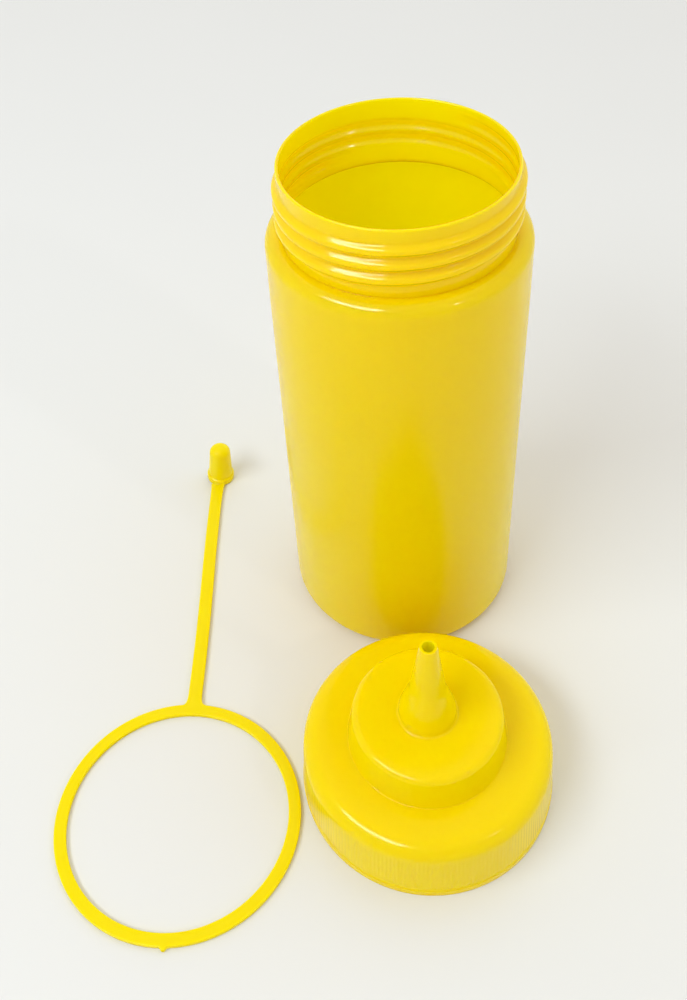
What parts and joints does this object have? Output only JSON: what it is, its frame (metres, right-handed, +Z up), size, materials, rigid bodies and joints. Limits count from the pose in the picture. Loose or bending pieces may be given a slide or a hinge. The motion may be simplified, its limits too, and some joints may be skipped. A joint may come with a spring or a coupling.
{
  "type": "sauce squeeze bottle",
  "caption": "Wide-mouth squeeze bottle, open, with its ribbed nozzle cap off and its tip cap on a ring and strap beside it.",
  "frame": {"origin": "middle of the bottle's base, on the plane it stands on", "axes": "+Z up along the bottle's axis, the nozzle cap stands towards -Y, the tether lies towards -X"},
  "size_m": [0.1427, 0.169, 0.158],
  "materials": {
    "bottle_plastic": "blow-moulded yellow low-density polyethylene, glossy",
    "cap_plastic": "injection-moulded yellow low-density polyethylene, glossy",
    "tether_plastic": "injection-moulded yellow low-density polyethylene, glossy"
  },
  "bodies": {
    "root": {"bottle": "bottle_plastic", "nozzle_cap": "cap_plastic", "tether": "tether_plastic"}
  },
  "joints": []
}
